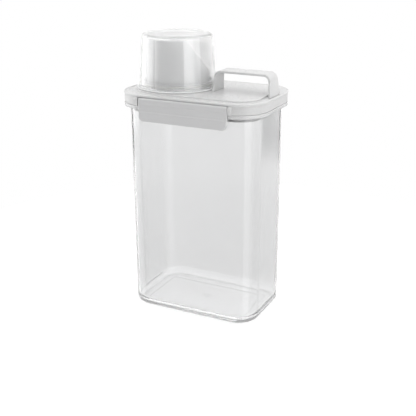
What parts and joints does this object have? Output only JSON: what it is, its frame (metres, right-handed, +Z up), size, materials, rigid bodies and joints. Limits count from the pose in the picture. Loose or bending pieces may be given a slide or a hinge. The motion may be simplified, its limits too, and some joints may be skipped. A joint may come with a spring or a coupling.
{
  "type": "detergent dispenser bottle",
  "caption": "Clear box-shaped container with a white latching lid, strap handle, oblique pouring spout and a clear measuring cup that caps the spout.",
  "frame": {"origin": "middle of the base, on the surface the bottle stands on", "axes": "+Z up; +X towards the handle end of the lid, the cup is at -X; front latch at -Y"},
  "size_m": [0.15, 0.104, 0.2755],
  "materials": {
    "clear_plastic": "clear, polished",
    "cup_plastic": "clear, polished",
    "white_plastic": "glossy white",
    "latch_plastic": "satin, slightly milky white",
    "milky_plastic": "milky, semi-clear",
    "silicone": "soft, matt",
    "pin_steel": "drawn wire"
  },
  "bodies": {
    "container": {"container_body": "clear_plastic"},
    "lid_set": {"lid": "white_plastic", "lid_gasket": "silicone", "spout": "milky_plastic", "cup_seal": "silicone", "handle": "white_plastic", "front_latch_pin": "pin_steel", "rear_latch_pin": "pin_steel"},
    "cup": {"measuring_cup": "cup_plastic"},
    "latch_front": {"front_latch": "latch_plastic"},
    "latch_rear": {"rear_latch": "latch_plastic"}
  },
  "joints": [
    {"name": "lid_lift", "type": "slide", "parent": "container", "child": "lid_set", "axis": [0, 0, 1], "range_m": [0, 0.12]},
    {"name": "cup_lift", "type": "slide", "parent": "lid_set", "child": "cup", "axis": [0, 0, 1], "range_m": [0, 0.07]},
    {"name": "front_latch_hinge", "type": "hinge", "parent": "lid_set", "child": "latch_front", "pos_m": [0, -0.0494, 0.2183], "axis": [-1, 0, 0], "range_deg": [0, 95]},
    {"name": "rear_latch_hinge", "type": "hinge", "parent": "lid_set", "child": "latch_rear", "pos_m": [0, 0.0494, 0.2183], "axis": [1, 0, 0], "range_deg": [0, 95]}
  ]
}
